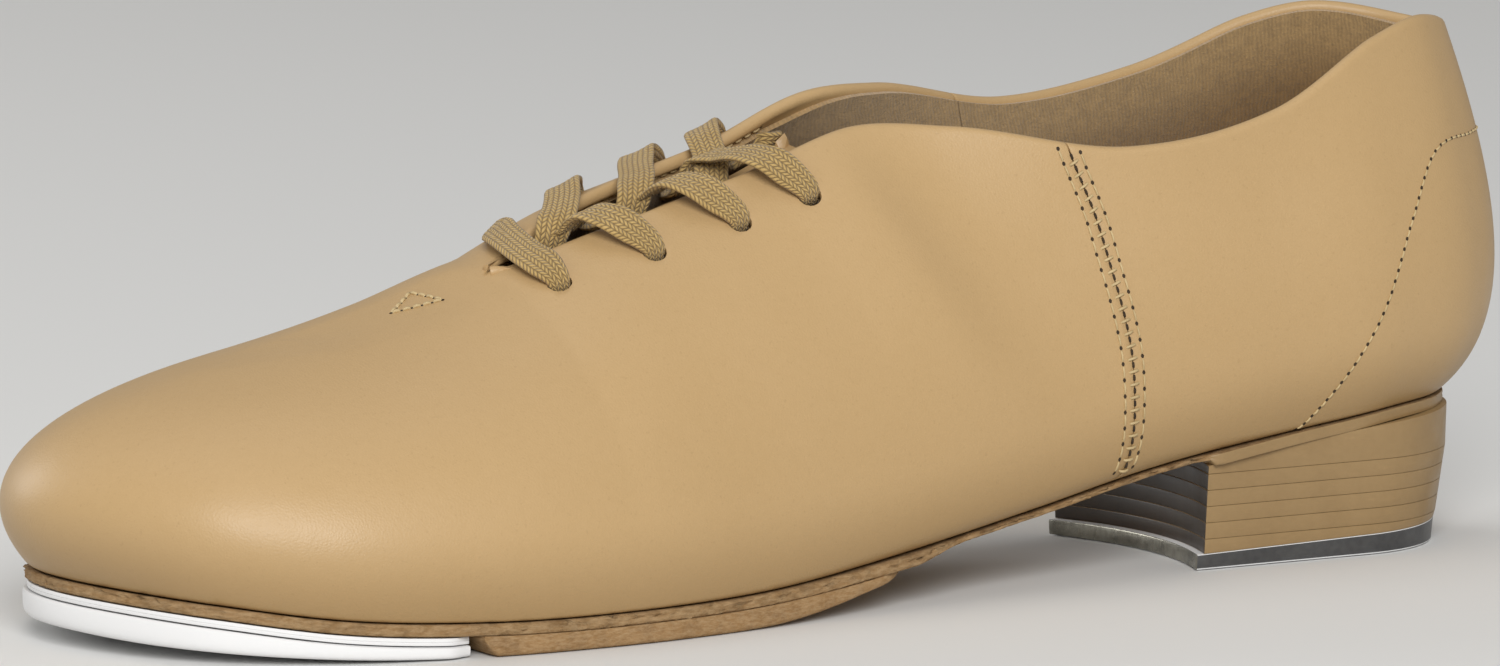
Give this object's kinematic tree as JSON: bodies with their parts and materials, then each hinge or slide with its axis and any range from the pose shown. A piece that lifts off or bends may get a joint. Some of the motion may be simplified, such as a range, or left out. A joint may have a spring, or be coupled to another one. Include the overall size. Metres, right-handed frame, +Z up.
{
  "type": "tap shoe",
  "caption": "Laced leather tap shoe for the left foot, with a stacked heel, a leather sole pad and screwed-on metal toe and heel taps.",
  "frame": {"origin": "the middle of the shoe's box, on the ground plane that the taps stand on", "axes": "+X from toe to heel, +Y towards the inner side of the foot, +Z up"},
  "size_m": [0.308, 0.0948, 0.1007],
  "materials": {
    "upper_leather": "smooth fine-grained leather, soft satin sheen",
    "flannel_lining": "brushed cotton flannel",
    "sock_cloth": "brushed cotton over thin foam",
    "stiff_cloth": "stiffened backing cloth",
    "fibre_board": "leather fibre board",
    "filler": "cork and felt filler",
    "raw_leather": "raw cut edge, fuzzy",
    "sole_leather": "smooth sole leather",
    "heel_leather": "stacked leather lifts, dressed edge",
    "sound_board": "dark fibre sheet, satin",
    "tap_metal": "cast, satin with polished edges",
    "dark_steel": "dull steel",
    "lace_cotton": "flat braided cotton"
  },
  "bodies": {
    "shoe": {"vamp": "upper_leather", "quarter": "upper_leather", "vamp_lining": "flannel_lining", "quarter_lining": "flannel_lining", "toe_puff": "stiff_cloth", "heel_counter": "fibre_board", "topline_tape": "stiff_cloth", "facing_stay": "stiff_cloth", "outer_seam_tape": "stiff_cloth", "inner_seam_tape": "stiff_cloth", "insole_board": "fibre_board", "sock_lining": "sock_cloth", "bottom_filler": "filler", "midsole": "raw_leather", "sole_pad": "sole_leather", "shank": "dark_steel", "toe_sound_board": "sound_board", "toe_tap": "tap_metal", "toe_screw_1": "dark_steel", "toe_screw_2": "dark_steel", "toe_screw_3": "dark_steel", "heel_tap": "tap_metal", "heel_lift_1": "heel_leather", "heel_lift_2": "heel_leather", "heel_lift_3": "heel_leather", "heel_lift_4": "heel_leather", "heel_lift_5": "heel_leather", "heel_seat": "heel_leather", "heel_screw_1": "dark_steel", "heel_screw_2": "dark_steel", "heel_screw_3": "dark_steel", "heel_nail_1": "dark_steel", "heel_nail_2": "dark_steel", "heel_nail_3": "dark_steel", "heel_nail_4": "dark_steel", "lace": "lace_cotton"},
    "tongue": {"tongue": "upper_leather"}
  },
  "joints": [
    {"name": "tongue_hinge", "type": "hinge", "parent": "shoe", "child": "tongue", "pos_m": [-0.0585, -0.0015, 0.0555], "axis": [0, 1, 0], "range_deg": [0, 14], "stiffness_Nm_per_rad": 0.05, "springref_deg": -6.88}
  ]
}
